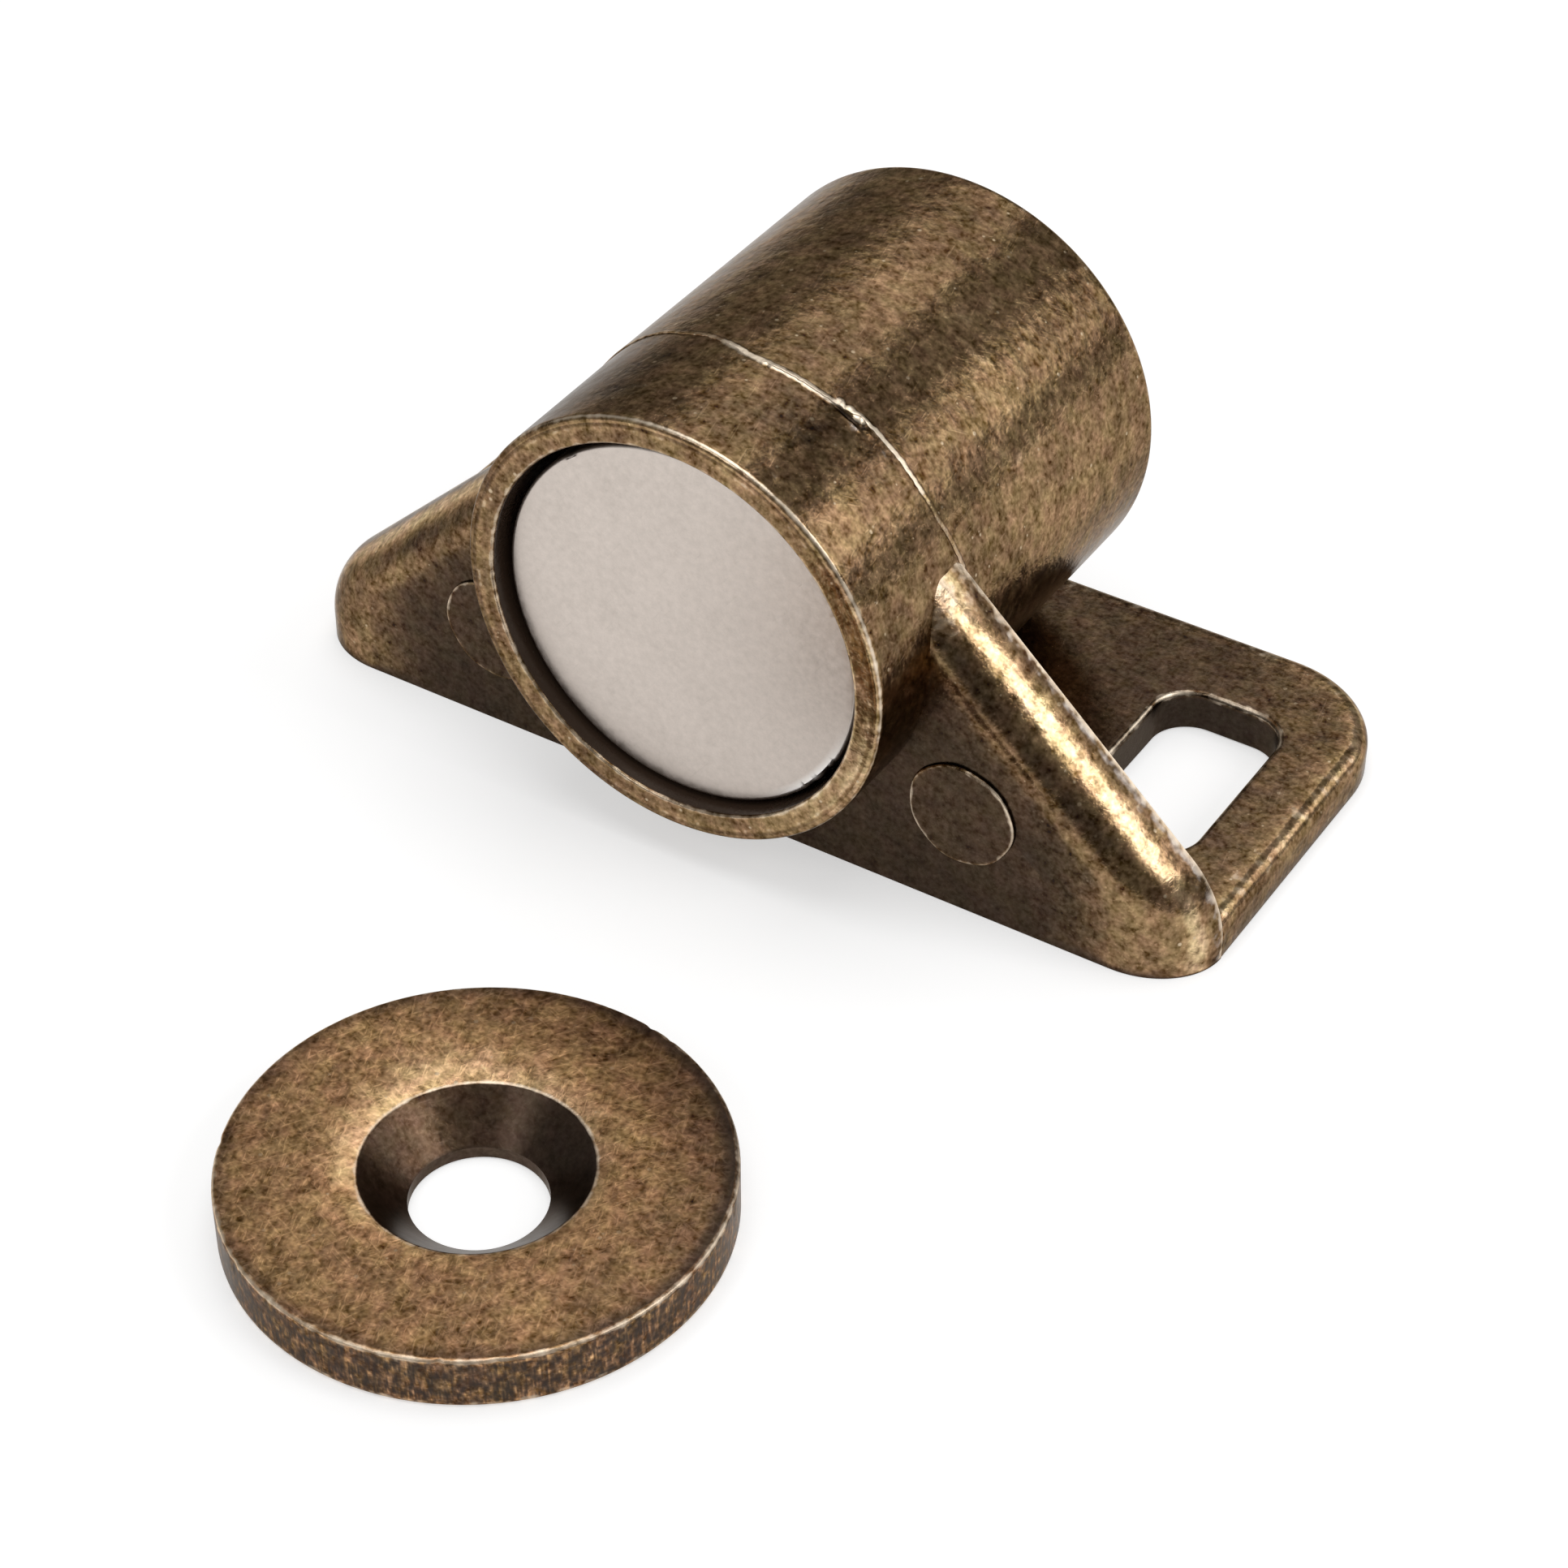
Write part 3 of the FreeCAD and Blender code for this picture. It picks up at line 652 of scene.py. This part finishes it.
# Magnet: a nickel-plated disc, ground flat before plating, glued into the bore with its face a little
# below the rim. Its rim is slightly round and chipped in a few places.
MAGNET_R, MAGNET_FRONT, MAGNET_THICK, MAGNET_ROUND, MAGNET_Z = 6.3, -4.55, 5.0, 0.15, AXIS - 0.1
CHIPS = ((-33, 2.6, 0.10), (-28.5, 1.2, 0.06), (19, 3.2, 0.09), (23.5, 1.5, 0.07), (-41, 2.0, 0.05), (128, 2.0, 0.04))
magnet_body = empty_body()
around = np.radians(np.arange(0, 360, 0.6))
magnet_angles = np.degrees(around)


def chipped(angle, chips):
    """How deep an edge is chipped at each angle. A chip is (angle, half its width in degrees, depth)."""
    depth = np.zeros_like(angle)
    for at, wide, deep in chips:
        depth += deep * np.exp(-(apart(angle, at) / wide) ** 2)
    return depth


# Sections of the magnet, as (radius, place along the axis, how far chips reach into it)
face_steps = [(share * (MAGNET_R - MAGNET_ROUND), MAGNET_FRONT, 0.0) for share in (0.0, 0.3, 0.6, 0.85, 0.96, 1.0)]
for step, gone, left in rounding(8, 1):
    face_steps.append((MAGNET_R - MAGNET_ROUND * left, MAGNET_FRONT + MAGNET_ROUND * gone, 1.0))
back = MAGNET_FRONT + MAGNET_THICK
face_steps += [(MAGNET_R, back - 0.2, 1.0), (MAGNET_R - 0.2, back, 0.5), (3.0, back, 0.0), (0.0, back, 0.0)]
magnet_rows, magnet_wear = [], []
for ring_r, ring_y, edge in face_steps:
    chips = chipped(magnet_angles, CHIPS) * edge * (abs(ring_y - MAGNET_FRONT) < 0.25)
    ring_r = ring_r - chips * 0.6
    magnet_rows.append(np.stack([ring_r * np.cos(around), ring_y + chips, MAGNET_Z + ring_r * np.sin(around)], 1))
    magnet_wear.append(np.clip(chips * 12, 0, 1))
magnet_rows = np.array(magnet_rows)
out_by = np.hypot(magnet_rows[:, :, 0], magnet_rows[:, :, 2] - MAGNET_Z)
# Painted highlight: a bright crescent along the magnet's rounded front edge round the lower right.
painted_edge_highlight = np.exp(-(apart(magnet_angles, -38) / 16) ** 2) * (out_by > 6.1) * (magnet_rows[:, :, 1] < -4.4)
add_rows(magnet_body, magnet_rows, np.array(magnet_wear), painted_edge_highlight, lids=False)
magnet = make_piece("magnet_disc", magnet_body)

nickel, tree, out = bare_material("nickel_plate")
place = spot_in_mm(tree)
haze = patches(tree, place, 0.45, 5.0, 3.0)
grain = patches(tree, place, 3.6, 8.0, 3.0, 0.7)
scratches = stretched(tree, place, (0.0, 0.9, 0.0), 11.0, 0.8, 3.0, 0.66, 0.74)
tone = sums(tree, "MULTIPLY_ADD", haze, 0.45, sums(tree, "MULTIPLY_ADD", grain, 1.15, 0.5))
tone = sums(tree, "SUBTRACT", tone, sums(tree, "MULTIPLY", scratches, 0.12))
shade = blended(tree, tone, (0.47, 0.415, 0.37, 1), (0.74, 0.66, 0.60, 1))
# The mesh's painted highlight whitens the magnet's edge along that crescent.
shade = blended(tree, told_by_mesh(tree, "polish_and_painted_light"), shade, (0.97, 0.95, 0.92, 1))
shade = blended(tree, sums(tree, "MULTIPLY", told_by_mesh(tree, "wear_and_painted_highlights"), 0.8), shade, (0.12, 0.105, 0.095, 1))
rough = sums(tree, "MULTIPLY_ADD", grain, 0.25, sums(tree, "MULTIPLY_ADD", haze, 0.1, 0.36))
bumped = set_node(tree, "ShaderNodeBump", {"Strength": 0.35, "Distance": 0.00001,
                                           "Height": sums(tree, "MULTIPLY_ADD", scratches, -0.4, grain)})
shader = set_node(tree, "ShaderNodeBsdfPrincipled", {"Base Color": shade, "Metallic": 1.0, "Roughness": rough,
                                                     "Normal": bumped.outputs[0]})
tree.links.new(shader.outputs[0], out.inputs["Surface"])
magnet.data.materials.append(nickel)
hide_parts("magnet")
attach(magnet, "root")

# Strike disc: turned from steel with a countersunk screw hole, bronzed and relieved like the casting.
# It is screwed to the door. Its upper edge is rubbed to bare metal, and the countersink keeps its patina.
STRIKE_X, STRIKE_Y, STRIKE_R, STRIKE_Z, STRIKE_ROUND = 3.8, -20.95, 7.498, 1.8, 0.14
HOLE_R, SINK_R, DISHING = 2.05, 3.425, 0.10
DENTS = ((82, 1.1, 0.05), (76, 0.8, 0.03), (-62, 0.9, 0.05), (-50, 1.4, 0.03), (-118, 1.2, 0.03), (205, 1.5, 0.04),
         (20, 1.0, 0.03))
strike_body = empty_body()
strike_angles = np.arange(0, 360, 0.375)
sink_foot = STRIKE_Z - (SINK_R - HOLE_R)
# Sections of the disc, from the foot of its hole up and over to its underside, as (radius, height,
# brightness of the worn edge, polish)
strike_steps = [(HOLE_R + 0.03, 0.0, 0, 0.1), (HOLE_R, 0.03, 0, 0.1), (HOLE_R, sink_foot, 0, 0.1)]
for share in (0.05, 0.3, 0.6, 0.9, 0.97):
    sink_height = sink_foot + (SINK_R - HOLE_R) * share - 0.09 * share
    strike_steps.append((HOLE_R + (SINK_R - HOLE_R) * share, sink_height, 0, 0.07))
# Round the countersink the top dishes down, and its polish and worn edge rise there: a painted glow round the hole.
strike_steps += [(SINK_R - 0.01, STRIKE_Z - 0.105, 0.25, 0.4), (SINK_R + 0.03, STRIKE_Z - 0.095, 0.4, 0.85)]
for r in (SINK_R + 0.12, 3.68, 3.82, 4.0, 4.2, 4.45, 4.7, 5.0, 5.4, 5.8, 6.2, 6.6, 6.9):
    fall = math.exp(-(r - SINK_R) / 0.6)
    strike_steps.append((r, STRIKE_Z - DISHING * fall, 0, 0.69 + 0.20 * fall))
strike_steps += [(7.1, STRIKE_Z, 0, 0.55), (7.25, STRIKE_Z, 0, 0.45), (7.33, STRIKE_Z, 0.0, 0.4)]
for step, gone, left in rounding(8):
    glow = math.exp(-((step - 4.0) / 2.6) ** 2)
    strike_steps.append((STRIKE_R - STRIKE_ROUND * left, STRIKE_Z - STRIKE_ROUND * gone,
                         0.62 * glow, 0.5 + 0.3 * glow))
strike_steps += [(STRIKE_R, z, 0, 0.36) for z in np.linspace(1.56, 0.24, 11)]
strike_steps += [(STRIKE_R - STRIKE_ROUND * gone, STRIKE_ROUND * left, 0.25, 0.5) for _, gone, left in rounding(4)]
strike_steps += [(6.5, 0.0, 0, 0.4), (4.0, 0.0, 0, 0.4), (HOLE_R + 0.03, 0.0, 0, 0.1)]
strike_steps = np.array(strike_steps)
ring_r = strike_steps[:, 0:1] + 0 * strike_angles
ring_z = strike_steps[:, 1:2] + 0 * strike_angles
ring_wear_and_painted_highlights = strike_steps[:, 2:3] * (0.55 + 0.6 * uneven(strike_angles, 21, 12, 150))
near_rim = np.exp(-((ring_r - STRIKE_R) / 0.12) ** 2) * (ring_z > 1.4)
ring_r = ring_r - chipped(strike_angles, DENTS) * near_rim
ring_r = ring_r + 0.006 * (uneven(strike_angles, 30, 30, 150) - 0.5) * near_rim
rows = np.stack([STRIKE_X + ring_r * np.cos(np.radians(strike_angles)),
                 STRIKE_Y + ring_r * np.sin(np.radians(strike_angles)), ring_z], 2)

# Polish of the disc: short marks down its side, a painted glow behind the countersink, a darker right edge, a painted
# sheen on the countersink's back-left wall and a painted highlight along its rear edge
on_side = (ring_r > STRIKE_R - 0.03) & (ring_z < 1.72) & (ring_z > 0.1)
on_top = (ring_z > STRIKE_Z - 0.12) & (ring_r > SINK_R + 0.02)
in_sink = (ring_r < SINK_R - 0.02) & (ring_z > 0.45)
on_sink_edge = (np.abs(ring_r - SINK_R - 0.01) < 0.03) & (ring_z > 1.6)
marks = np.random.default_rng(50).normal(size=ring_z.shape)
marks = marks + 0.9 * np.roll(marks, 1, axis=1) + 0.5 * np.roll(marks, 2, axis=1) + 0.6 * np.roll(marks, 1, axis=0)
marks = marks + 0.5 * np.random.default_rng(51).normal(size=len(strike_angles))
polish = strike_steps[:, 3:4] + (0.115 * marks - 0.12) * on_side
# Painted highlight: a glow behind the countersink.
painted_glow_patch = (0.26 * np.exp(-(apart(strike_angles, 135) / 75) ** 2) - 0.05) * np.exp(-((ring_r - 3.5) / 2.0) ** 2)
polish = polish + painted_glow_patch * on_top
edge_dark = np.clip((ring_r - 4.6) / 2.6, 0, 1) * np.exp(-(apart(strike_angles, 38) / 68) ** 2)
polish = polish - 0.34 * edge_dark * on_top
# Painted sheen on the countersink's back-left wall.
polish = polish + 0.19 * np.exp(-(apart(strike_angles, 160) / 50) ** 2) * in_sink
# Painted highlight along the countersink's rear edge.
ring_wear_and_painted_highlights = ring_wear_and_painted_highlights + 0.28 * np.exp(-(apart(strike_angles, 105) / 85) ** 2) * on_sink_edge
add_rows(strike_body, rows, ring_wear_and_painted_highlights, polish, lids=False)
strike = make_piece("strike_disc_turned", strike_body)
turned_bronze = ((0.034, 0.021, 0.0140), (0.090, 0.052, 0.028), (0.212, 0.121, 0.059), (0.405, 0.240, 0.115),
                 (0.630, 0.425, 0.235))
brushed = ((0.0, 0.0, 0.35), (0.0, 0.2, 1.2), (0.0, 0.0, 2.1), (0.3, 0.0, 2.8))
strike.data.materials.append(bronze_finish("relieved_bronze_on_steel", turned_bronze, 40.0, brushed,
                                           (9.0, 1.5, 0.60, 0.70), contrast=0.8, roughness=0.36, lacquer=0.3))
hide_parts("strike_disc")
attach(strike, "root")
